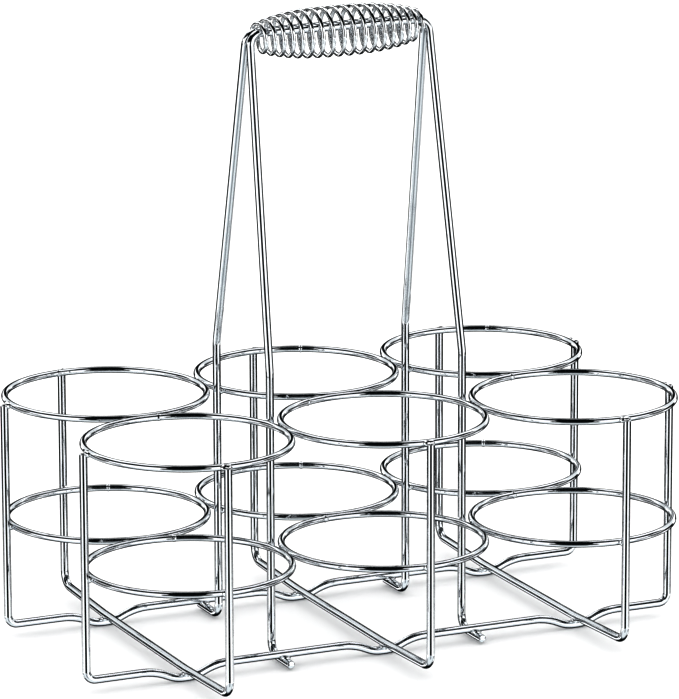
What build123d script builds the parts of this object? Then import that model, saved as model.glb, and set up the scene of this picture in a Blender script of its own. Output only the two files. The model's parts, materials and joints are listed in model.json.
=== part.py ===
from build123d import *
import math
import os

# Wire bottle caddy with six places: three columns (along X) by two rows (along Y).
# Millimetres. +X runs along the rows, +Y to the back, +Z up.
# The origin is on the standing plane, below the middle of the caddy.

# Counts
column_count = 3
row_count = 2
column_names = ["left", "middle", "right"]
row_names = ["front", "back"]

# Driving dimensions
ring_bore = 92.0            # free diameter of each bottle ring
ring_wire = 3.2             # wire diameter of the rings
frame_wire = 3.8            # wire diameter of row, cross and handle wires
coil_wire = 2.0             # wire diameter of the grip coil
weld_gap = 0.05             # what is left between two wires that are welded together
upper_ring_height = 113.6   # wire centre of the upper rings above the standing plane
lower_ring_height = 54.9    # wire centre of the lower rings
upright_rise = 0.3          # from the wire centre of the upper rings up to the uprights' cut tops
hook_clearance = 0.95       # from the standing plane to the underside of the handle's hooks

# Row wires: a dip under each cross wire is what the caddy stands on
row_foot_bend = 2.6         # inside radius below each upright
dip_floor = 10.0            # length of the stretch at the bottom of a dip, corner to corner
dip_slope = 10.0            # length that each side of a dip takes along the row
dip_foot_share = 0.82       # how much of half its floor, or of half a slope, a dip's lower bends take up
dip_shoulder_share = 0.98   # how much of the rest of a slope the bend at its upper end takes up

# Cross wires
cross_foot_bend = 5.1       # inside radius below each upright
cross_foot_rise = 1.8       # how much the wire rises from the row wire out to its foot
cross_rest_bend = 118.0     # inside radius of the slight bend over each row wire
cross_spread = 2.0          # how far the outer cross wires stand outside their ring centres

# Handle wires
leg_shift = 0.8             # how far each handle wire is slid along X to touch its rings
hook_bend = 4.6             # inside radius at the foot of each leg
hook_overhang = 6.5         # how far the cut end reaches past the row wire's centre line
leg_bend_rise = 21.8        # from the top of the rings to where each leg starts to lean inwards
leg_bend = 16.0             # inside radius there
handle_height = 290.2       # wire centre of the top run above the standing plane
handle_half_span = 45.4     # half the distance between the top corners
handle_top_bend = 4.1       # inside radius of the top corners

# Grip coil
coil_turns = 17.46
coil_start_degrees = -65.0  # angle of the left end, measured from the top towards the front
coil_hang = 2.3             # how far the coil's axis hangs below the wire centres of the top run
coil_clearance = 0.3        # running clearance between the coil's end turns and the handle wires
coil_end_play = 1.5         # from each end of the coil to the leg beside it
coil_belly = 5.0            # how much wider the radius is half way along than at the ends
coil_barrel_power = 2.4     # how square the barrel is
coil_spread_share = 0.15    # how much wider the middle turns are spaced than the mean

# Values worked out from the driving dimensions
ring_radius = (ring_bore + ring_wire) / 2
ring_pitch = ring_bore + 2 * ring_wire + weld_gap
ring_top = upper_ring_height + ring_wire / 2
upright_top = upper_ring_height + upright_rise
upright_reach = ring_radius + ring_wire / 2 + weld_gap + frame_wire / 2
dip_height = frame_wire / 2
cross_height = dip_height + frame_wire + weld_gap
hook_height = hook_clearance + frame_wire / 2
base_height = hook_height + frame_wire + weld_gap
leg_bend_height = ring_top + leg_bend_rise
top_offset = (frame_wire + weld_gap) / 2
column_places = [(i - (column_count - 1) / 2) * ring_pitch for i in range(column_count)]
row_places = [(j - (row_count - 1) / 2) * ring_pitch for j in range(row_count)]
outer_column = column_places[-1]
outer_row = row_places[-1]

# The coil hangs so that its end turns clear both handle wires by the same running clearance
coil_end_radius = math.hypot(coil_hang, top_offset) + frame_wire / 2 + coil_clearance + coil_wire / 2
coil_axis_height = handle_height - coil_hang
coil_half_length = handle_half_span - frame_wire / 2 - coil_end_play - coil_wire / 2


def side_of(value):
    """-1, 0 or 1 for a place left of, at or right of the middle."""
    return (value > 0) - (value < 0)


cross_places = [x + side_of(x) * cross_spread for x in column_places]


def wire_along(points, radii, diameter):
    """A round wire along straight runs joined by tangent arcs."""
    path = FilletPolyline(*points, radius=radii)
    start = Plane(origin=path @ 0, z_dir=path % 0)
    return sweep(start * Circle(diameter / 2), path=path)


def bottle_ring(x, y, z):
    """One closed ring round a bottle place."""
    return Pos(x, y, z) * Torus(ring_radius, ring_wire / 2)


def row_wire(y):
    """A long U with an upright at each end and a dip under each cross wire."""
    end = outer_column + upright_reach
    inner = dip_floor / 2
    outer = inner + dip_slope
    dip_depth = base_height - dip_height
    slope_length = math.hypot(dip_slope, dip_depth)
    foot_reach = dip_foot_share * min(inner, slope_length / 2)
    shoulder_reach = dip_shoulder_share * (slope_length - foot_reach)
    corner = math.tan(math.atan2(dip_depth, dip_slope) / 2)
    foot_bend = row_foot_bend + frame_wire / 2
    points = [(-end, y, upright_top), (-end, y, base_height)]
    radii = [foot_bend]
    for x in cross_places:
        points += [(x - outer, y, base_height), (x - inner, y, dip_height)]
        points += [(x + inner, y, dip_height), (x + outer, y, base_height)]
        radii += [reach / corner for reach in (shoulder_reach, foot_reach, foot_reach, shoulder_reach)]
    points += [(end, y, base_height), (end, y, upright_top)]
    radii += [foot_bend]
    return wire_along(points, radii, frame_wire)


def cross_wire(x, ring_x):
    """A U from front to back, resting in the dips of both row wires."""
    aside = x - ring_x
    end = outer_row + math.sqrt(upright_reach ** 2 - aside ** 2)
    foot = cross_height + cross_foot_rise
    points = [
        (x, -end, upright_top),
        (x, -end, foot),
        (x, -outer_row, cross_height),
        (x, outer_row, cross_height),
        (x, end, foot),
        (x, end, upright_top),
    ]
    radii = [r + frame_wire / 2 for r in (cross_foot_bend, cross_rest_bend)]
    return wire_along(points, radii + radii[::-1], frame_wire)


def handle_wire(side):
    """An inverted U. side is -1 for the front wire and 1 for the back one, turned half round."""
    near = ring_pitch / 2 - leg_shift
    inward = math.sqrt(upright_reach ** 2 - near ** 2)
    leg_y = side * (outer_row - inward)
    tip_y = side * (outer_row + hook_overhang)
    top_y = side * top_offset
    slide = side * leg_shift
    points = []
    for end in (-1, 1):
        leg_x = end * ring_pitch / 2 + slide
        leg = [
            (leg_x, tip_y, hook_height),
            (leg_x, leg_y, hook_height),
            (leg_x, leg_y, leg_bend_height),
            (end * handle_half_span, top_y, handle_height),
        ]
        points += leg if end < 0 else reversed(leg)
    radii = [r + frame_wire / 2 for r in (hook_bend, leg_bend, handle_top_bend)]
    return wire_along(points, radii + radii[::-1], frame_wire)


def coil_place(turn_share):
    """A point of the coil's centre line, from its left end at share 0 to its right end at 1."""
    along = 2 * turn_share - 1
    crowding = coil_spread_share * math.sin(math.pi * along) / math.pi
    x = coil_half_length * (along + crowding)
    radius = coil_end_radius + coil_belly * (1 - abs(along) ** coil_barrel_power)
    angle = math.radians(coil_start_degrees + 360 * coil_turns * turn_share)
    return Vector(x, -radius * math.sin(angle), coil_axis_height + radius * math.cos(angle))


def coil_direction(turn_share):
    """The direction of the coil's centre line, along its own travel."""
    step = 1e-6
    before = coil_place(turn_share - step) if turn_share > step else coil_place(turn_share)
    after = coil_place(turn_share + step) if turn_share < 1 - step else coil_place(turn_share)
    return (after - before).normalized()


def biarc(start, start_way, end, end_way):
    """Two arcs, tangent to each other, that leave start and reach end along the given directions."""
    span = end - start
    square = 2 * (1 - start_way.dot(end_way))
    middle = span.dot(start_way + end_way)
    reach = (math.sqrt(middle ** 2 + square * span.dot(span)) - middle) / square
    first = start + start_way * reach
    second = end - end_way * reach
    meeting = (first + second) / 2
    meeting_way = (second - first).normalized()
    return [
        Edge.make_tangent_arc(start, start_way, meeting),
        Edge.make_tangent_arc(meeting, meeting_way, end),
    ]


def grip_coil():
    """One unbroken wire wound into a barrel-shaped coil."""
    quarter_turns = math.ceil(4 * coil_turns)
    shares = [i / quarter_turns for i in range(quarter_turns + 1)]
    edges = []
    for first, last in zip(shares, shares[1:]):
        edges += biarc(
            coil_place(first), coil_direction(first), coil_place(last), coil_direction(last)
        )
    path = Wire(edges)
    start = Plane(origin=coil_place(0), z_dir=coil_direction(0))
    return sweep(start * Circle(coil_wire / 2), path=path), path.length


def least_coil_gap():
    """The least gap between one turn and the next, measured on points along the coil."""
    per_turn = 72
    count = math.ceil(coil_turns * per_turn)
    places = [coil_place(i / count) for i in range(count + 1)]
    gaps = []
    for i, place in enumerate(places):
        for other in places[i + per_turn // 2:i + 2 * per_turn]:
            gaps.append((other - place).length - coil_wire)
    return min(gaps)


pieces = {}
for row_name, row_y in zip(row_names, row_places):
    pieces[f"{row_name}_row_wire"] = row_wire(row_y)
    for column_name, column_x in zip(column_names, column_places):
        place = f"{row_name}_{column_name}"
        pieces[f"upper_ring_{place}"] = bottle_ring(column_x, row_y, upper_ring_height)
        pieces[f"lower_ring_{place}"] = bottle_ring(column_x, row_y, lower_ring_height)
for column_name, cross_x, column_x in zip(column_names, cross_places, column_places):
    pieces[f"cross_wire_{column_name}"] = cross_wire(cross_x, column_x)
pieces["handle_wire_front"] = handle_wire(-1)
pieces["handle_wire_back"] = handle_wire(1)
pieces["grip_coil"], coil_path_length = grip_coil()

os.makedirs("parts", exist_ok=True)
for name, piece in pieces.items():
    export_step(piece, f"parts/{name}.step")

print("least gap of the coil to itself", round(least_coil_gap(), 2))
print("coil volume / (section x length)",
      round(pieces["grip_coil"].volume / (math.pi * (coil_wire / 2) ** 2 * coil_path_length), 4))
print("coil axis height", round(coil_axis_height, 3))
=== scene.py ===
"""Chrome wire caddy for bottles: the looks of every wire, and the studio that it stands in."""

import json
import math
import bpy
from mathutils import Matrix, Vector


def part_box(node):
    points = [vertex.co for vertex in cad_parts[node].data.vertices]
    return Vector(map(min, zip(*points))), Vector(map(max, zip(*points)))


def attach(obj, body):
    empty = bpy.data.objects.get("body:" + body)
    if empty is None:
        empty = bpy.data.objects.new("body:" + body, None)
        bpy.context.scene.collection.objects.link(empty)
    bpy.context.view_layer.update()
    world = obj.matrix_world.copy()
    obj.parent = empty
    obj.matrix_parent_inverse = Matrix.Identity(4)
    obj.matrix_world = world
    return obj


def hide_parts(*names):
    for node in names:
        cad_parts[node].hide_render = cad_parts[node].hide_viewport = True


bl_info = {
    "name": "Wire Bottle Caddy",
    "version": (1, 0, 0),
    "blender": (4, 5, 0),
    "location": "3D View > Sidebar > Bottle Caddy",
    "description": "Bends the chrome wires of a bottle caddy, welds them and sets up a pale studio",
    "category": "Add Mesh",
}

import bmesh
import bpy
from mathutils import Matrix, Vector

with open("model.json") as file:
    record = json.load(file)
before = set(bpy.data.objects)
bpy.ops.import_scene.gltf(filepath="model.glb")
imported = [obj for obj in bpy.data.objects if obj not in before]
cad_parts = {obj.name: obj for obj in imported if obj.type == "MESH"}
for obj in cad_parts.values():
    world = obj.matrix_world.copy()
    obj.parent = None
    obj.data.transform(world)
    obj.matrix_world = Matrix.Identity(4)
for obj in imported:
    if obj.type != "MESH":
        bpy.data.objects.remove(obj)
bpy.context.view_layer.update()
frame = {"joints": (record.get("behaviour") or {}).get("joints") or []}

# The tent round the caddy, as the chrome mirrors it. A panel has a colour from the stage's looks, and
# fills the directions that lie in three ranges: how far they point aside, to either side alike (None
# takes them all), how far ahead as the stage's camera looks, and how far up. The last number tilts it:
# this, times how far a direction points ahead, is added to how far it points up. A panel covers those
# before it
TENT_PANELS = (
    ("table", None, (-1.1, -0.10), (-1.1, -0.41), 0),
    ("table_side", None, (-0.14, 0.10), (-1.1, -0.41), 0),
    ("table_side", (-0.24, 0.24), (-1.1, -0.4), (-0.70, -0.41), 0),
    ("slit", (-0.64, 0.64), (0.02, 1.1), (-1.1, -0.52), 0),
    ("slit", (-0.60, 0.60), (0.71, 1.1), (-0.54, -0.28), 0),
    ("slit", (-0.17, 0.17), (0.4, 1.1), (-0.2, 0.74), 0),
    ("slit", None, (-0.30, 1.1), (-0.285, -0.12), 0),
    ("slit", (0.76, 0.94), (0.16, 0.5), (-0.52, -0.36), 0),
    ("slit", (0.78, 1.1), (-0.02, 0.6), (-0.2, 0.10), 0),
    ("slit", (-0.45, 0.45), (0.72, 1.1), (-0.54, 0.10), 0),
    ("veil", (0.20, 0.72), (0.58, 0.92), (0.24, 0.52), 0),
    ("slit", (0.6, 0.9), (0.42, 0.8), (-0.16, 0.18), 0),
    ("slit", (0.2, 1.1), (-0.8, 0.15), (0.27, 0.90), 0.3),
    ("slit", (0.6, 1.1), (0.10, 0.48), (0.36, 0.80), 0.3),
    ("slit", (-0.34, 0.34), (-1.1, 0.05), (0.15, 1.1), 0),
    ("slit", (-0.14, 0.14), (0.0, 0.46), (0.5, 1.1), 0),
    ("slit", (-0.44, 0.44), (-1.1, -0.2), (-0.38, 0.22), 0),
)
PANEL_EDGE = 0.03  # how far a panel fades to either side of its ends

# Suns over the floor: name, the way that the light goes, and strength
SUNS = (
    ("key_sun", (0.45, 0.55, -1), 0.3),
    ("fill_sun", (-0.6, 0.3, -1), 0.2),
)
SUN_WIDTH = math.radians(50)
SUN_SETBACK = 2  # how far back its lamp hangs, in lengths of that way. It doesn't change the light

SENSOR_SIDE = 36  # the long side of the camera's sensor, in mm

ROWS = ("front", "back")
COLUMNS = ("left", "middle", "right")
LEVELS = ("upper", "lower")
ACROSS = Vector((1, 0, 0))
BACK = Vector((0, 1, 0))
UP = Vector((0, 0, 1))

# Where each ring's two ends are welded together, in degrees round the ring from +X
RING_SEAMS = {
    "upper_ring_back_left": 95, "upper_ring_back_middle": 62, "upper_ring_back_right": 59,
    "upper_ring_front_left": 82, "upper_ring_front_middle": 112, "upper_ring_front_right": 100,
    "lower_ring_back_left": 66, "lower_ring_back_middle": 62, "lower_ring_back_right": 61,
    "lower_ring_front_left": 74, "lower_ring_front_middle": 99, "lower_ring_front_right": 98,
}

# How finely the pieces are divided
BEND_STEP = 5  # degrees of a bend for each step along it
LEAST_BEND_STEPS = 3
RIM_STEPS = 3  # across the rounded rim of a cut end
RING_STEPS = 144
RING_SIDES = 24
BEAD_SEGMENTS = 20
BEAD_RINGS = 14
COIL_STEPS = 40  # for each turn
COIL_OUTLINE = 6  # gives the coil's wire 16 faces round it
FLOOR_CORNERS = 96

# The crown of a cut end rises in steps from its rim inwards, and these are their shares of its height
CROWN_SHARES = (0.45, 0.33, 0.22)

# How high the flash of a ring's seam stands at its steps along the ring, as shares of the seam's rise
SEAM_FLASH = (0, 0.6, 1, 1, 0.6, 0)

# How close to a step round the ring a vertex counts as being on it, in radians
STEP_SLACK = 0.0005

# How close together the coil's vertices are merged, in metres
MERGE_DISTANCE = 0.00001

# How strongly a piece's large faces steer its shading, where 50 is neutral
LARGE_FACE_WEIGHT = 80

# Patterns of the finishes, in features per metre
HAZE_PATCHES = 70
PLATING_RIPPLE = 420
PAPER_FIBRES = 3

# A Mix node's sockets for its share and its two colours, and for the mixed colour
MIX_SHARE, MIX_FIRST, MIX_SECOND, MIX_COLOUR = 0, 6, 7, 2


def tidy(value):
    """A length read off a meshed solid, to a hundredth of a millimetre."""
    return round(value, 5)


def box_size(node):
    """How long a node's box is along each axis."""
    low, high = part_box(node)
    return high - low


def box_middle(node):
    """Where the middle of a node's box lies."""
    low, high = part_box(node)
    return Vector([tidy(a) for a in (low + high) / 2])


# Wire gauges and places, read from the frame. All the rings are alike
RING_GAUGE = round(box_size("upper_ring_front_left").z, 4)
RING_WIDTH = round(box_size("upper_ring_front_left").x, 4)
RING_TOP = tidy(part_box("upper_ring_front_left")[1].z)
FRAME_GAUGE = round(box_size("front_row_wire").y, 4)
COIL_AXIS = Vector(frame["joints"][0]["pos_m"])


class WireSizes(bpy.types.PropertyGroup):
    """Gauges and bend radii of the frame's wires."""

    frame_gauge: bpy.props.FloatProperty(
        name="Frame wire", description="Diameter of the row, cross and handle wires",
        default=FRAME_GAUGE, unit="LENGTH")
    ring_gauge: bpy.props.FloatProperty(
        name="Ring wire", description="Diameter of the bottle rings' wire",
        default=RING_GAUGE, unit="LENGTH")
    weld_gap: bpy.props.FloatProperty(
        name="Weld gap", description="What the frame leaves between two welded wires",
        default=0.00005, unit="LENGTH", precision=5)
    sides: bpy.props.IntProperty(
        name="Sides", description="Faces round a frame wire", default=28, min=8)
    row_foot_bend: bpy.props.FloatProperty(
        name="Row foot bend", description="Centre line radius below a row wire's uprights",
        default=0.0045, unit="LENGTH")
    base_height: bpy.props.FloatProperty(
        name="Base height", description="Centre line of a row wire's level runs above the floor",
        default=0.0067, unit="LENGTH")
    dip_floor: bpy.props.FloatProperty(
        name="Dip floor", description="Length of a dip's lowest stretch, corner to corner",
        default=0.010, unit="LENGTH")
    dip_slope: bpy.props.FloatProperty(
        name="Dip slope", description="Length that each side of a dip takes along the row",
        default=0.010, unit="LENGTH")
    dip_foot_bend: bpy.props.FloatProperty(
        name="Dip foot bend", description="Centre line radius at the bottom of a dip",
        default=0.018, unit="LENGTH")
    dip_shoulder_bend: bpy.props.FloatProperty(
        name="Dip shoulder bend", description="Centre line radius at the upper ends of a dip's slopes",
        default=0.0301, unit="LENGTH")
    cross_foot_bend: bpy.props.FloatProperty(
        name="Cross foot bend", description="Centre line radius below a cross wire's uprights",
        default=0.007, unit="LENGTH")
    cross_foot_rise: bpy.props.FloatProperty(
        name="Cross foot rise", description="How much a cross wire rises out to its foot",
        default=0.0018, unit="LENGTH")
    cross_rest_bend: bpy.props.FloatProperty(
        name="Cross rest bend", description="Centre line radius of the slight bend over a row wire",
        default=0.120, unit="LENGTH")
    hook_bend: bpy.props.FloatProperty(
        name="Hook bend", description="Centre line radius at the foot of a handle leg",
        default=0.0065, unit="LENGTH")
    hook_overhang: bpy.props.FloatProperty(
        name="Hook overhang", description="How far a hook's cut end passes the row wire's centre line",
        default=0.0065, unit="LENGTH")
    leg_bend_rise: bpy.props.FloatProperty(
        name="Leg bend rise", description="From the rings' top to where a leg starts to lean",
        default=0.0218, unit="LENGTH")
    leg_bend: bpy.props.FloatProperty(
        name="Leg bend", description="Centre line radius where a leg starts to lean",
        default=0.018, unit="LENGTH")
    handle_half_span: bpy.props.FloatProperty(
        name="Handle half span", description="Half the distance between the top corners",
        default=0.0454, unit="LENGTH")
    handle_top_bend: bpy.props.FloatProperty(
        name="Handle top bend", description="Centre line radius of the top corners",
        default=0.006, unit="LENGTH")
    cut_edge: bpy.props.FloatProperty(
        name="Cut edge", description="How far the rim of a sheared wire end is rounded",
        default=0.0004, unit="LENGTH", precision=5)
    cut_crown: bpy.props.FloatProperty(
        name="Cut crown", description="How far a tumbled wire end is crowned",
        default=0.0002, unit="LENGTH", precision=5)


class WeldSizes(bpy.types.PropertyGroup):
    """Beads where wires are spot welded, and the seams of the rings."""

    crossing: bpy.props.FloatVectorProperty(
        name="Crossing bead",
        description="Half sizes of a bead between crossing wires: along each wire, and from wire to wire",
        default=(0.0025, 0.0021, 0.0014), unit="LENGTH", precision=5)
    side_by_side: bpy.props.FloatVectorProperty(
        name="Side bead",
        description="Half sizes of a bead between two rings: along them, up, and from ring to ring",
        default=(0.0036, 0.0013, 0.0010), unit="LENGTH", precision=5)
    upright_end: bpy.props.FloatVectorProperty(
        name="Upright end bead",
        description="Half sizes of a bead at an upright's end: along the ring, up, and from wire to wire",
        default=(0.0030, 0.0017, 0.0016), unit="LENGTH", precision=5)
    unevenness: bpy.props.FloatProperty(
        name="Unevenness", description="How far a bead's surface strays from an even one",
        default=0.00022, unit="LENGTH", precision=5)
    seam_rise: bpy.props.FloatProperty(
        name="Seam rise", description="How far the flash of a ring's seam stands proud",
        default=0.00022, unit="LENGTH", precision=5)


class CoilSizes(bpy.types.PropertyGroup):
    """The grip coil's winding."""

    wire: bpy.props.FloatProperty(
        name="Coil wire", description="Diameter of the coil's wire", default=0.002, unit="LENGTH")
    turns: bpy.props.FloatProperty(name="Turns", description="Turns from end to end", default=17.46)
    start_angle: bpy.props.FloatProperty(
        name="Start angle", description="Where the left end lies, from the top towards the front",
        default=math.radians(-65), subtype="ANGLE")
    half_length: bpy.props.FloatProperty(
        name="Half length", description="Half the distance between the wire's two cut ends",
        default=0.041, unit="LENGTH")
    end_radius: bpy.props.FloatProperty(
        name="End radius", description="Centre line radius at the ends", default=0.0062, unit="LENGTH")
    belly: bpy.props.FloatProperty(
        name="Belly", description="How much wider the radius is half way along",
        default=0.005, unit="LENGTH")
    barrel_power: bpy.props.FloatProperty(
        name="Barrel power", description="How square the barrel is", default=2.4)
    spread: bpy.props.FloatProperty(
        name="Spread", description="How much wider the middle turns are spaced than the mean",
        default=0.15, subtype="FACTOR")
    cut_edge: bpy.props.FloatProperty(
        name="Cut edge", description="How far the rim of the coil's cut ends is rounded",
        default=0.0002, unit="LENGTH", precision=5)


class ChromeLooks(bpy.types.PropertyGroup):
    """Colour and polish of the plating."""

    tint: bpy.props.FloatVectorProperty(
        name="Chrome", description="Reflection colour of clean plating",
        default=(0.80, 0.82, 0.84), subtype="COLOR", min=0, max=1)
    haze_tint: bpy.props.FloatVectorProperty(
        name="Haze", description="Reflection colour where the plating is thin or hazed",
        default=(0.66, 0.69, 0.72), subtype="COLOR", min=0, max=1)
    coil_tint: bpy.props.FloatVectorProperty(
        name="Coil chrome", description="Reflection colour of the coil's plating, polished by the hand",
        default=(0.93, 0.94, 0.95), subtype="COLOR", min=0, max=1)
    polish: bpy.props.FloatProperty(
        name="Polish", description="Roughness of clean plating", default=0.045, subtype="FACTOR")
    haze: bpy.props.FloatProperty(
        name="Haze roughness", description="Roughness of hazed plating", default=0.16, subtype="FACTOR")


class StageLooks(bpy.types.PropertyGroup):
    """The studio round the caddy, and the camera."""

    floor_colour: bpy.props.FloatVectorProperty(
        name="Floor", description="Colour of the pale floor",
        default=(0.90, 0.90, 0.90), subtype="COLOR", min=0, max=1)
    floor_radius: bpy.props.FloatProperty(
        name="Floor radius", description="How far the floor reaches", default=9.0, unit="LENGTH")
    gamma: bpy.props.FloatProperty(
        name="Gamma", description="Contrast of the picture, where less is harder", default=0.62)
    backdrop: bpy.props.FloatVectorProperty(
        name="Backdrop", description="Colour seen beyond the floor, and of the light on the floor",
        default=(1.32, 1.32, 1.32), subtype="COLOR", min=0, max=4)
    tent: bpy.props.FloatVectorProperty(
        name="Tent", description="Brightness of the white tent in the chrome",
        default=(1.45, 1.45, 1.45), subtype="COLOR", min=0, max=4)
    table: bpy.props.FloatVectorProperty(
        name="Table", description="The table in front, as the chrome mirrors it",
        default=(1.04, 1.08, 1.09), subtype="COLOR", min=0, max=4)
    table_side: bpy.props.FloatVectorProperty(
        name="Table sides", description="The table at the sides, as the chrome mirrors it",
        default=(0.40, 0.44, 0.47), subtype="COLOR", min=0, max=4)
    veil: bpy.props.FloatVectorProperty(
        name="Veil", description="A thinner stretch of the tent's cloth, as the chrome mirrors it",
        default=(1.00, 1.03, 1.04), subtype="COLOR", min=0, max=4)
    slit: bpy.props.FloatVectorProperty(
        name="Slits", description="Dark slits between the tent's panels",
        default=(0.006, 0.010, 0.011), subtype="COLOR", min=0, max=4)
    camera_azimuth: bpy.props.FloatProperty(
        name="Camera azimuth", description="Turn of the camera's view from +Y towards +X",
        default=math.radians(24.562), subtype="ANGLE")
    camera_elevation: bpy.props.FloatProperty(
        name="Camera elevation", description="How far the camera looks down",
        default=math.radians(13.755), subtype="ANGLE")
    camera_roll: bpy.props.FloatProperty(
        name="Camera roll", description="Tilt of the picture",
        default=math.radians(-0.185), subtype="ANGLE")
    camera_distance: bpy.props.FloatProperty(
        name="Camera distance", description="From the camera to the point it looks at",
        default=2.5465, unit="LENGTH")
    aim_aside: bpy.props.FloatProperty(
        name="Aim aside", description="How far right of the middle the camera looks",
        default=0.00035, unit="LENGTH", precision=5)
    aim_height: bpy.props.FloatProperty(
        name="Aim height", description="Height of the point that the camera looks at",
        default=0.1357, unit="LENGTH")
    lens: bpy.props.FloatProperty(
        name="Lens", description="Focal length for a sensor whose long side is 36 mm",
        default=279.14, subtype="DISTANCE_CAMERA")


# Materials

def new_material(name):
    """A material with nodes, and its nodes and links."""
    material = bpy.data.materials.new(name)
    material.use_nodes = True
    return material, material.node_tree.nodes, material.node_tree.links


def noise(nodes, links, scale, detail):
    """Noise on the piece's own coordinates, in features per metre."""
    place = nodes.new("ShaderNodeTexCoord")
    texture = nodes.new("ShaderNodeTexNoise")
    texture.inputs["Scale"].default_value = scale
    texture.inputs["Detail"].default_value = detail
    links.new(place.outputs["Object"], texture.inputs["Vector"])
    return texture.outputs["Fac"]


def ramp(nodes, links, source, *stops):
    """Colours along a factor, between two stops of a position and a colour."""
    node = nodes.new("ShaderNodeValToRGB")
    for point, (position, colour) in zip(node.color_ramp.elements, stops):
        point.position = position
        point.color = (*colour, 1)
    links.new(source, node.inputs["Fac"])
    return node.outputs["Color"]


def spread(nodes, links, source, low, high, new_low, new_high, curve="LINEAR"):
    """A factor's range moved onto another range."""
    node = nodes.new("ShaderNodeMapRange")
    node.interpolation_type = curve
    node.inputs["From Min"].default_value = low
    node.inputs["From Max"].default_value = high
    node.inputs["To Min"].default_value = new_low
    node.inputs["To Max"].default_value = new_high
    links.new(source, node.inputs["Value"])
    return node.outputs["Result"]


def pointing(nodes, links, source, way):
    """How far a direction points along a way."""
    node = nodes.new("ShaderNodeVectorMath")
    node.operation = "DOT_PRODUCT"
    node.inputs[1].default_value = way
    links.new(source, node.inputs[0])
    return node.outputs["Value"]


def reckoned(nodes, links, operation, *terms):
    """One step of arithmetic, on factors or numbers."""
    node = nodes.new("ShaderNodeMath")
    node.operation = operation
    for socket, term in zip(node.inputs, terms):
        if isinstance(term, bpy.types.NodeSocket):
            links.new(term, socket)
        else:
            socket.default_value = term
    return node.outputs[0]


def within(nodes, links, source, low, high):
    """One where a factor lies between two numbers, and nought outside them, with a soft edge."""
    away = reckoned(nodes, links, "SUBTRACT", source, (low + high) / 2)
    distance = reckoned(nodes, links, "ABSOLUTE", away)
    half = (high - low) / 2
    return spread(nodes, links, distance, half - PANEL_EDGE, half + PANEL_EDGE, 1, 0, "SMOOTHSTEP")


def mixed(nodes, links, share, first, second):
    """Two colours mixed by a share. Each colour may be a link or a value."""
    node = nodes.new("ShaderNodeMix")
    node.data_type = "RGBA"
    links.new(share, node.inputs[MIX_SHARE])
    for place, colour in ((MIX_FIRST, first), (MIX_SECOND, second)):
        if isinstance(colour, bpy.types.NodeSocket):
            links.new(colour, node.inputs[place])
        else:
            node.inputs[place].default_value = (*colour, 1)
    return node.outputs[MIX_COLOUR]


def chrome(name, looks, tint=None, haze_from=0.56, haze_to=0.80, bump=0.02):
    """Bright chrome plate: clean plating with hazed patches and a faint ripple from drawing."""
    material, nodes, links = new_material(name)
    shader = nodes["Principled BSDF"]
    shader.inputs["Metallic"].default_value = 1.0
    patches = noise(nodes, links, HAZE_PATCHES, detail=4)
    colour = ramp(nodes, links, patches, (haze_from, tint or looks.tint), (haze_to, looks.haze_tint))
    links.new(colour, shader.inputs["Base Color"])
    rough = spread(nodes, links, patches, haze_from, haze_to, looks.polish, looks.haze)
    links.new(rough, shader.inputs["Roughness"])
    ripple = nodes.new("ShaderNodeBump")
    ripple.inputs["Strength"].default_value = bump
    ripple.inputs["Distance"].default_value = 0.0005
    links.new(noise(nodes, links, PLATING_RIPPLE, detail=3), ripple.inputs["Height"])
    links.new(ripple.outputs["Normal"], shader.inputs["Normal"])
    return material


def weld_chrome(name, looks):
    """The same plating over a weld bead: brighter, hazed more widely, and rougher to the touch."""
    return chrome(name, looks, looks.coil_tint, haze_from=0.50, haze_to=0.78, bump=0.10)


def paper(name, colour, shade=0.985, shade_to=0.3, pale_from=0.7):
    """Matt pale paper for the floor, with a faint shade among its fibres."""
    material, nodes, links = new_material(name)
    shader = nodes["Principled BSDF"]
    shader.inputs["Roughness"].default_value = 0.85
    shader.inputs["Specular IOR Level"].default_value = 0.1
    darker = [shade * c for c in colour]
    fibres = noise(nodes, links, PAPER_FIBRES, detail=3)
    mottled = ramp(nodes, links, fibres, (shade_to, darker), (pale_from, colour))
    links.new(mottled, shader.inputs["Base Color"])
    return material


def shared(name, maker, *arguments):
    """The material of that name, made once."""
    return bpy.data.materials.get(name) or maker(name, *arguments)


# Modelling by hand

def edit():
    """Opens the active piece in edit mode, to work on its vertices."""
    bpy.ops.object.mode_set(mode="EDIT")
    bpy.ops.mesh.select_mode(type="VERT")


def pick(piece, kind, wanted):
    """Selects the vertices, edges or faces that a test wants, and nothing else."""
    bpy.ops.mesh.select_mode(type=kind)
    bpy.ops.mesh.select_all(action="DESELECT")
    mesh = bmesh.from_edit_mesh(piece.data)
    for part in {"VERT": mesh.verts, "EDGE": mesh.edges, "FACE": mesh.faces}[kind]:
        if wanted(part):
            part.select_set(True)
    bmesh.update_edit_mesh(piece.data)


def finish(piece, material, node=None):
    """Gives a modelled piece its finish, and lets it stand for its solid if it has one."""
    bpy.ops.object.mode_set(mode="OBJECT")
    bpy.ops.object.shade_smooth()
    piece.data.materials.clear()
    piece.data.materials.append(material)
    bpy.ops.object.modifier_add(type="WEIGHTED_NORMAL")
    shading = piece.modifiers[-1]
    shading.weight = LARGE_FACE_WEIGHT
    bpy.ops.object.modifier_apply(modifier=shading.name)
    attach(piece, "grip" if node == "grip_coil" else "caddy")
    if node:
        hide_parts(node)


def copied(model, name):
    """A copy with a mesh of its own, which alone is selected."""
    bpy.ops.object.select_all(action="DESELECT")
    model.select_set(True)
    bpy.context.view_layer.objects.active = model
    bpy.ops.object.duplicate()
    piece = bpy.context.object
    piece.name = name
    return piece


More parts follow.
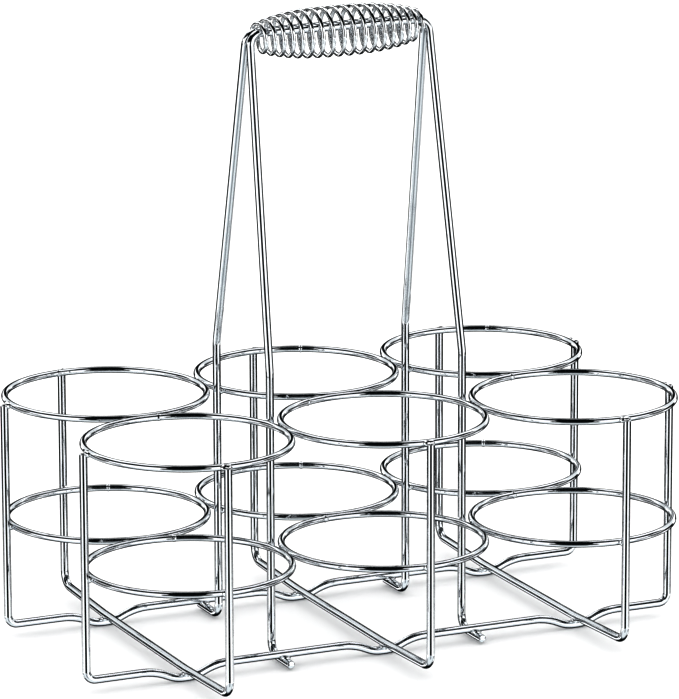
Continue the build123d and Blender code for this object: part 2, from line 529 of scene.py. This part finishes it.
def discard(model):
    """Deletes a model once its copies are made."""
    bpy.ops.object.select_all(action="DESELECT")
    model.select_set(True)
    bpy.ops.object.delete()


def is_cut_end(face):
    """A wire's ends are its only faces with more than four corners."""
    return len(face.verts) > 4


def crown_cut_ends(piece, gauge, edge, crown):
    """Rounds the rims of a wire's two sheared ends, and crowns what lies inside them."""
    pick(piece, "FACE", is_cut_end)
    bpy.ops.mesh.bevel(offset=edge, segments=RIM_STEPS, affect="EDGES")
    pick(piece, "FACE", is_cut_end)
    step = (gauge / 2 - edge) / (len(CROWN_SHARES) + 1)
    for share in CROWN_SHARES:
        bpy.ops.mesh.inset(thickness=step, depth=crown * share, use_individual=True)


def bend_wire(name, points, radii, sizes):
    """Draws a wire from end to end: straight runs are extruded, and bends are spun.

    Its ends stand back by the crown that is then put on them.
    """
    points = [Vector(p) for p in points]
    for end, inner in ((0, 1), (-1, -2)):
        points[end] += (points[inner] - points[end]).normalized() * sizes.cut_crown
    place = points[0]
    way = (points[1] - place).normalized()
    bpy.ops.object.select_all(action="DESELECT")
    bpy.ops.mesh.primitive_circle_add(
        vertices=sizes.sides, radius=sizes.frame_gauge / 2, fill_type="NGON", location=place,
        rotation=way.to_track_quat("Z", "Y").to_euler())
    piece = bpy.context.object
    piece.name = name
    bpy.ops.object.transform_apply(location=True, rotation=True, scale=True)
    edit()
    bpy.ops.mesh.select_all(action="SELECT")
    for corner, after, radius in zip(points[1:-1], points[2:], radii):
        new_way = (after - corner).normalized()
        angle = way.angle(new_way)
        reach = radius * math.tan(angle / 2)
        axis = way.cross(new_way).normalized()
        start = corner - way * reach
        bpy.ops.mesh.extrude_region_move(TRANSFORM_OT_translate={"value": start - place})
        bpy.ops.mesh.spin(
            steps=max(LEAST_BEND_STEPS, round(math.degrees(angle) / BEND_STEP)), angle=-angle,
            center=start + axis.cross(way) * radius, axis=axis)
        place = corner + new_way * reach
        way = new_way
    bpy.ops.mesh.extrude_region_move(TRANSFORM_OT_translate={"value": points[-1] - place})
    bpy.ops.mesh.select_all(action="SELECT")
    bpy.ops.mesh.normals_make_consistent(inside=False)
    crown_cut_ends(piece, sizes.frame_gauge, sizes.cut_edge, sizes.cut_crown)
    return piece


def mirrored(radii):
    """The radii of a wire's first half, and the same in reverse for its second."""
    return radii + radii[::-1]


def handle_legs(row, sizes):
    """Where the legs of a row's handle wire stand: the place of each along X, and of both along Y."""
    half = sizes.frame_gauge / 2
    low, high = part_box(f"handle_wire_{row}")
    places = (tidy(low.x) + half, tidy(high.x) - half)
    near = min(abs(x) for x in places)
    reach = box_size("upper_ring_front_middle").x / 2 + sizes.weld_gap + half
    row_y = box_middle(f"{row}_row_wire").y
    return places, row_y - math.copysign(math.sqrt(reach ** 2 - near ** 2), row_y)


class CADDY_OT_row_wires(bpy.types.Operator):
    """Bends the two long wires under the rows, with an upright at each end and three dips"""

    bl_idname = "caddy.row_wires"
    bl_label = "Row wires"

    def execute(self, context):
        sizes = context.scene.caddy_wires
        looks = context.scene.caddy_chrome
        for row in ROWS:
            node = f"{row}_row_wire"
            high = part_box(node)[1]
            y = box_middle(node).y
            end = tidy(high.x) - sizes.frame_gauge / 2
            top = tidy(high.z)
            base = sizes.base_height
            dip = sizes.frame_gauge / 2
            inner = sizes.dip_floor / 2
            outer = inner + sizes.dip_slope
            points = [(-end, y, top), (-end, y, base)]
            radii = [sizes.row_foot_bend]
            for column in COLUMNS:
                x = box_middle(f"cross_wire_{column}").x
                points += [(x - outer, y, base), (x - inner, y, dip)]
                points += [(x + inner, y, dip), (x + outer, y, base)]
                radii += mirrored([sizes.dip_shoulder_bend, sizes.dip_foot_bend])
            points += [(end, y, base), (end, y, top)]
            radii += [sizes.row_foot_bend]
            piece = bend_wire(f"{node}_plated", points, radii, sizes)
            finish(piece, shared("chrome frame wire", chrome, looks), node)
        return {"FINISHED"}


class CADDY_OT_cross_wires(bpy.types.Operator):
    """Bends the three wires that run from front to back under the columns"""

    bl_idname = "caddy.cross_wires"
    bl_label = "Cross wires"

    def execute(self, context):
        sizes = context.scene.caddy_wires
        looks = context.scene.caddy_chrome
        row = box_middle("back_row_wire").y
        for column in COLUMNS:
            node = f"cross_wire_{column}"
            low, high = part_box(node)
            x = box_middle(node).x
            end = tidy(high.y) - sizes.frame_gauge / 2
            top = tidy(high.z)
            rest = tidy(low.z) + sizes.frame_gauge / 2
            foot = rest + sizes.cross_foot_rise
            points = [(x, -end, top), (x, -end, foot), (x, -row, rest)]
            points += [(x, row, rest), (x, end, foot), (x, end, top)]
            radii = mirrored([sizes.cross_foot_bend, sizes.cross_rest_bend])
            piece = bend_wire(f"{node}_plated", points, radii, sizes)
            finish(piece, shared("chrome frame wire", chrome, looks), node)
        return {"FINISHED"}


class CADDY_OT_handle_wires(bpy.types.Operator):
    """Bends the two tall wires of the handle, from hook to hook"""

    bl_idname = "caddy.handle_wires"
    bl_label = "Handle wires"

    def execute(self, context):
        sizes = context.scene.caddy_wires
        looks = context.scene.caddy_chrome
        half = sizes.frame_gauge / 2
        for side, row in ((-1, "front"), (1, "back")):
            node = f"handle_wire_{row}"
            low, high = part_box(node)
            row_y = box_middle(f"{row}_row_wire").y
            legs, leg_y = handle_legs(row, sizes)
            top_y = side * (half + sizes.weld_gap / 2)
            hook = tidy(low.z) + half
            top = tidy(high.z) - half
            points = []
            for end, x in zip((-1, 1), legs):
                leg = [
                    (x, row_y + side * sizes.hook_overhang, hook),
                    (x, leg_y, hook),
                    (x, leg_y, RING_TOP + sizes.leg_bend_rise),
                    (end * sizes.handle_half_span, top_y, top),
                ]
                points += leg if end < 0 else reversed(leg)
            radii = mirrored([sizes.hook_bend, sizes.leg_bend, sizes.handle_top_bend])
            piece = bend_wire(f"{node}_plated", points, radii, sizes)
            finish(piece, shared("chrome frame wire", chrome, looks), node)
        return {"FINISHED"}


class CADDY_OT_rings(bpy.types.Operator):
    """Rolls one bottle ring with its butt-welded seam, and copies it to all twelve places"""

    bl_idname = "caddy.rings"
    bl_label = "Bottle rings"

    def execute(self, context):
        sizes = context.scene.caddy_wires
        looks = context.scene.caddy_chrome
        model = self.ring(sizes, context.scene.caddy_welds.seam_rise)
        for node, seam in RING_SEAMS.items():
            piece = copied(model, f"{node}_plated")
            piece.location = box_middle(node)
            piece.rotation_euler.z = math.radians(seam)
            bpy.ops.object.transform_apply(location=True, rotation=True, scale=True)
            finish(piece, shared("chrome ring wire", chrome, looks), node)
        discard(model)
        return {"FINISHED"}

    def ring(self, sizes, rise):
        """A ring round the origin, with the flash of its seam on +X."""
        bpy.ops.object.select_all(action="DESELECT")
        bpy.ops.mesh.primitive_torus_add(
            major_segments=RING_STEPS, minor_segments=RING_SIDES,
            major_radius=(RING_WIDTH - sizes.ring_gauge) / 2, minor_radius=sizes.ring_gauge / 2)
        piece = bpy.context.object
        edit()
        first_step = 2 * math.pi / RING_STEPS

        def at(vertex, turn):
            """Whether a vertex stands at a turn round the ring."""
            return abs(math.atan2(vertex.co.y, vertex.co.x) - turn) < STEP_SLACK

        def crosses(edge):
            """Whether an edge runs along the wire from the seam to the next step."""
            start, end = edge.verts
            return (at(start, 0) and at(end, first_step)) or (at(start, first_step) and at(end, 0))

        pick(piece, "EDGE", crosses)
        bpy.ops.mesh.subdivide(number_cuts=len(SEAM_FLASH))
        for i, share in enumerate(SEAM_FLASH, 1):
            turn = first_step * i / (len(SEAM_FLASH) + 1)
            pick(piece, "VERT", lambda vertex: at(vertex, turn))
            bpy.ops.transform.shrink_fatten(value=rise * share)
        bpy.ops.object.mode_set(mode="OBJECT")
        return piece


class CADDY_OT_welds(bpy.types.Operator):
    """Lays a small uneven bead where two wires are spot welded"""

    bl_idname = "caddy.welds"
    bl_label = "Weld beads"

    def execute(self, context):
        sizes = context.scene.caddy_wires
        welds = context.scene.caddy_welds
        groups = {
            "ring_welds": (self.ring_places(), welds.side_by_side),
            "upright_welds": (self.upright_places("lower", sizes), welds.crossing),
            "upright_end_welds": (self.upright_places("upper", sizes), welds.upright_end),
            "leg_welds": (self.leg_places(sizes), welds.crossing),
            "base_welds": (self.base_places(sizes), welds.crossing),
        }
        material = shared("chrome weld", weld_chrome, context.scene.caddy_chrome)
        for name, (places, half_sizes) in groups.items():
            self.beads(name, places, half_sizes, welds.unevenness)
            finish(bpy.context.object, material)
        return {"FINISHED"}

    def beads(self, name, places, half_sizes, unevenness):
        """One bead is shaped and copied to each place, and the beads become one piece.

        A place has a point, the way along one wire there, and the way from one wire to the other.
        """
        bpy.ops.object.select_all(action="DESELECT")
        bpy.ops.mesh.primitive_uv_sphere_add(segments=BEAD_SEGMENTS, ring_count=BEAD_RINGS, radius=1)
        model = bpy.context.object
        edit()
        bpy.ops.mesh.select_all(action="SELECT")
        bpy.ops.transform.resize(value=half_sizes)
        bpy.ops.object.mode_set(mode="OBJECT")
        copies = []
        for i, (place, along, between) in enumerate(places):
            piece = copied(model, f"{name}_{i}")
            edit()
            bpy.ops.mesh.select_all(action="SELECT")
            bpy.ops.transform.vertex_random(offset=unevenness, uniform=0.3, normal=0.7, seed=i + 1)
            bpy.ops.mesh.vertices_smooth(factor=0.5, repeat=2)
            bpy.ops.object.mode_set(mode="OBJECT")
            basis = Matrix((along, between.cross(along), between)).transposed().to_4x4()
            piece.matrix_world = Matrix.Translation(place) @ basis
            bpy.ops.object.transform_apply(location=True, rotation=True, scale=True)
            copies.append(piece)
        discard(model)
        for piece in copies:
            piece.select_set(True)
        bpy.context.view_layer.objects.active = copies[0]
        bpy.ops.object.join()
        copies[0].name = name

    def ring_places(self):
        """Between each two rings that touch."""
        places = []
        for level in LEVELS:
            middles = {(c, r): box_middle(f"{level}_ring_{r}_{c}") for c in COLUMNS for r in ROWS}
            for column in COLUMNS:
                place = (middles[column, "front"] + middles[column, "back"]) / 2
                places.append((place, ACROSS, BACK))
            for row in ROWS:
                for near, far in zip(COLUMNS, COLUMNS[1:]):
                    place = (middles[near, row] + middles[far, row]) / 2
                    places.append((place, BACK, ACROSS))
        return places

    def against_ring(self, node, upright, sizes):
        """Where an upright stretch of wire touches a ring from outside."""
        middle = box_middle(node)
        between = Vector((upright[0] - middle.x, upright[1] - middle.y, 0)).normalized()
        reach = box_size(node).x / 2 + sizes.weld_gap / 2
        return middle + between * reach, between.cross(UP), between

    def upright_places(self, level, sizes):
        """Where the uprights of the cross wires and row wires touch the rings of one level."""
        half = sizes.frame_gauge / 2
        places = []
        for row in ROWS:
            side = -1 if row == "front" else 1
            for column in COLUMNS:
                low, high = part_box(f"cross_wire_{column}")
                upright = ((low.x + high.x) / 2, side * (high.y - half))
                places.append(self.against_ring(f"{level}_ring_{row}_{column}", upright, sizes))
            low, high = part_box(f"{row}_row_wire")
            for column, x in (("left", low.x + half), ("right", high.x - half)):
                upright = (x, (low.y + high.y) / 2)
                places.append(self.against_ring(f"{level}_ring_{row}_{column}", upright, sizes))
        return places

    def leg_places(self, sizes):
        """Where each leg of the handle touches a ring of either level."""
        places = []
        for level in LEVELS:
            for row, columns in (("front", ("left", "middle")), ("back", ("middle", "right"))):
                legs, leg_y = handle_legs(row, sizes)
                for column, x in zip(columns, legs):
                    places.append(self.against_ring(f"{level}_ring_{row}_{column}", (x, leg_y), sizes))
        return places

    def base_places(self, sizes):
        """Where the cross wires lie on the row wires, and where the hooks reach under these."""
        half = sizes.frame_gauge / 2
        places = []
        for row in ROWS:
            y = box_middle(f"{row}_row_wire").y
            rest = sizes.frame_gauge + sizes.weld_gap / 2
            for column in COLUMNS:
                x = box_middle(f"cross_wire_{column}").x
                places.append((Vector((x, y, rest)), ACROSS, UP))
            low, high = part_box(f"handle_wire_{row}")
            for x in (low.x + half, high.x - half):
                place = Vector((x, y, low.z + sizes.frame_gauge + sizes.weld_gap / 2))
                places.append((place, ACROSS, UP))
        return places


class CADDY_OT_grip_coil(bpy.types.Operator):
    """Winds the barrel-shaped coil round both handle wires"""

    bl_idname = "caddy.grip_coil"
    bl_label = "Grip coil"

    def execute(self, context):
        sizes = context.scene.caddy_coil
        looks = context.scene.caddy_chrome
        count = round(sizes.turns * COIL_STEPS)
        bpy.ops.object.select_all(action="DESELECT")
        bpy.ops.curve.primitive_bezier_curve_add(location=(0, 0, 0))
        piece = bpy.context.object
        piece.name = "grip_coil_plated"
        line = piece.data
        line.splines.clear()
        winding = line.splines.new("POLY")
        winding.points.add(count)
        for i, point in enumerate(winding.points):
            share = i / count
            place = 2 * share - 1
            x = sizes.half_length * (place + sizes.spread * math.sin(math.pi * place) / math.pi)
            radius = sizes.end_radius + sizes.belly * (1 - abs(place) ** sizes.barrel_power)
            angle = sizes.start_angle + 2 * math.pi * sizes.turns * share
            offset = Vector((x, -radius * math.sin(angle), radius * math.cos(angle)))
            point.co = (*(COIL_AXIS + offset), 1)
        line.dimensions = "3D"
        line.twist_mode = "MINIMUM"
        line.bevel_depth = sizes.wire / 2
        line.bevel_resolution = COIL_OUTLINE
        line.use_fill_caps = True
        bpy.ops.object.convert(target="MESH")
        edit()
        bpy.ops.mesh.select_all(action="SELECT")
        bpy.ops.mesh.remove_doubles(threshold=MERGE_DISTANCE)
        bpy.ops.mesh.normals_make_consistent(inside=False)
        # Each cap of the wire is a fan of triangles, and becomes one face
        pick(piece, "FACE", lambda face: len(face.verts) == 3)
        bpy.ops.mesh.dissolve_faces()
        crown_cut_ends(piece, sizes.wire, sizes.cut_edge, crown=0)
        finish(piece, shared("chrome coil wire", chrome, looks, looks.coil_tint), "grip_coil")
        return {"FINISHED"}


class CADDY_OT_stage(bpy.types.Operator):
    """Lays the pale floor and sets the lights and the camera"""

    bl_idname = "caddy.stage"
    bl_label = "Studio stage"

    def execute(self, context):
        looks = context.scene.caddy_stage
        floor = self.floor(looks)
        self.surroundings(context.scene, looks)
        self.lamps()
        self.camera(context.scene, looks)
        context.scene.view_settings.view_transform = "Standard"
        context.scene.view_settings.gamma = looks.gamma
        return {"FINISHED"}

    def floor(self, looks):
        """A round of pale paper that the chrome doesn't mirror, because the tent's table stands for it."""
        bpy.ops.object.select_all(action="DESELECT")
        bpy.ops.mesh.primitive_circle_add(
            vertices=FLOOR_CORNERS, radius=looks.floor_radius, fill_type="NGON")
        floor = bpy.context.object
        floor.name = "studio_floor"
        floor.data.materials.append(paper("pale paper", looks.floor_colour))
        floor.visible_glossy = False
        return floor

    def surroundings(self, scene, looks):
        """The even light round the caddy, and what the chrome mirrors: a white tent, with dark slits
        and a grey table."""
        world = bpy.data.worlds.new("studio tent")
        scene.world = world
        world.use_nodes = True
        nodes, links = world.node_tree.nodes, world.node_tree.links
        place = nodes.new("ShaderNodeTexCoord").outputs["Generated"]
        turn = looks.camera_azimuth
        ahead = pointing(nodes, links, place, (math.sin(turn), math.cos(turn), 0))
        aside = pointing(nodes, links, place, (math.cos(turn), -math.sin(turn), 0))
        either_side = reckoned(nodes, links, "ABSOLUTE", aside)
        seen = looks.tent
        for colour, aside_ends, ahead_ends, height_ends, tilt in TENT_PANELS:
            height = pointing(nodes, links, place, (tilt * math.sin(turn), tilt * math.cos(turn), 1))
            share = within(nodes, links, ahead, *ahead_ends)
            for factor, ends in ((either_side, aside_ends), (height, height_ends)):
                if ends:
                    share = reckoned(nodes, links, "MULTIPLY", share, within(nodes, links, factor, *ends))
            seen = mixed(nodes, links, share, seen, getattr(looks, colour))
        mirrored_ray = nodes.new("ShaderNodeLightPath").outputs["Is Glossy Ray"]
        seen = mixed(nodes, links, mirrored_ray, looks.backdrop, seen)
        links.new(seen, nodes["Background"].inputs["Color"])

    def lamps(self):
        """Two wide suns light the floor evenly. The chrome mirrors only the tent."""
        for name, direction, strength in SUNS:
            aim = Vector(direction)
            bpy.ops.object.light_add(
                type="SUN", location=-SUN_SETBACK * aim, rotation=aim.to_track_quat("-Z", "Y").to_euler())
            lamp = bpy.context.object
            lamp.name = name
            lamp.data.angle = SUN_WIDTH
            lamp.data.energy = strength
            lamp.visible_glossy = False

    def camera(self, scene, looks):
        """Looks at the caddy as the photograph does."""
        turn, down, roll = looks.camera_azimuth, looks.camera_elevation, looks.camera_roll
        ahead = Vector((math.sin(turn) * math.cos(down), math.cos(turn) * math.cos(down), -math.sin(down)))
        level = ahead.cross(UP).normalized()
        upward = level.cross(ahead)
        across = level * math.cos(roll) + upward * math.sin(roll)
        upright = upward * math.cos(roll) - level * math.sin(roll)
        aim = Vector((looks.aim_aside, 0, looks.aim_height))
        bpy.ops.object.camera_add()
        camera = bpy.context.object
        camera.name = "photo_camera"
        basis = Matrix((across, upright, -ahead)).transposed().to_4x4()
        camera.matrix_world = Matrix.Translation(aim - ahead * looks.camera_distance) @ basis
        camera.data.sensor_width = SENSOR_SIDE
        camera.data.lens = looks.lens
        camera.data.clip_start = 0.1
        camera.data.clip_end = 100
        scene.camera = camera


class CADDY_PT_panel(bpy.types.Panel):
    """Lists the steps that build the caddy"""

    bl_idname = "CADDY_PT_panel"
    bl_label = "Bottle Caddy"
    bl_space_type = "VIEW_3D"
    bl_region_type = "UI"
    bl_category = "Bottle Caddy"

    def draw(self, context):
        for step in STEPS:
            self.layout.operator(step.bl_idname)


STEPS = (
    CADDY_OT_row_wires,
    CADDY_OT_cross_wires,
    CADDY_OT_handle_wires,
    CADDY_OT_rings,
    CADDY_OT_welds,
    CADDY_OT_grip_coil,
    CADDY_OT_stage,
)
GROUPS = {
    "caddy_wires": WireSizes,
    "caddy_welds": WeldSizes,
    "caddy_coil": CoilSizes,
    "caddy_chrome": ChromeLooks,
    "caddy_stage": StageLooks,
}


def register():
    for group in GROUPS.values():
        bpy.utils.register_class(group)
    for name, group in GROUPS.items():
        setattr(bpy.types.Scene, name, bpy.props.PointerProperty(type=group))
    for step in STEPS:
        bpy.utils.register_class(step)
    bpy.utils.register_class(CADDY_PT_panel)


def unregister():
    bpy.utils.unregister_class(CADDY_PT_panel)
    for step in reversed(STEPS):
        bpy.utils.unregister_class(step)
    for name in GROUPS:
        delattr(bpy.types.Scene, name)
    for group in reversed(GROUPS.values()):
        bpy.utils.unregister_class(group)


def main():
    register()
    bpy.ops.caddy.row_wires()
    bpy.ops.caddy.cross_wires()
    bpy.ops.caddy.handle_wires()
    bpy.ops.caddy.rings()
    bpy.ops.caddy.welds()
    bpy.ops.caddy.grip_coil()
    bpy.ops.caddy.stage()


if __name__ == "__main__":
    main()
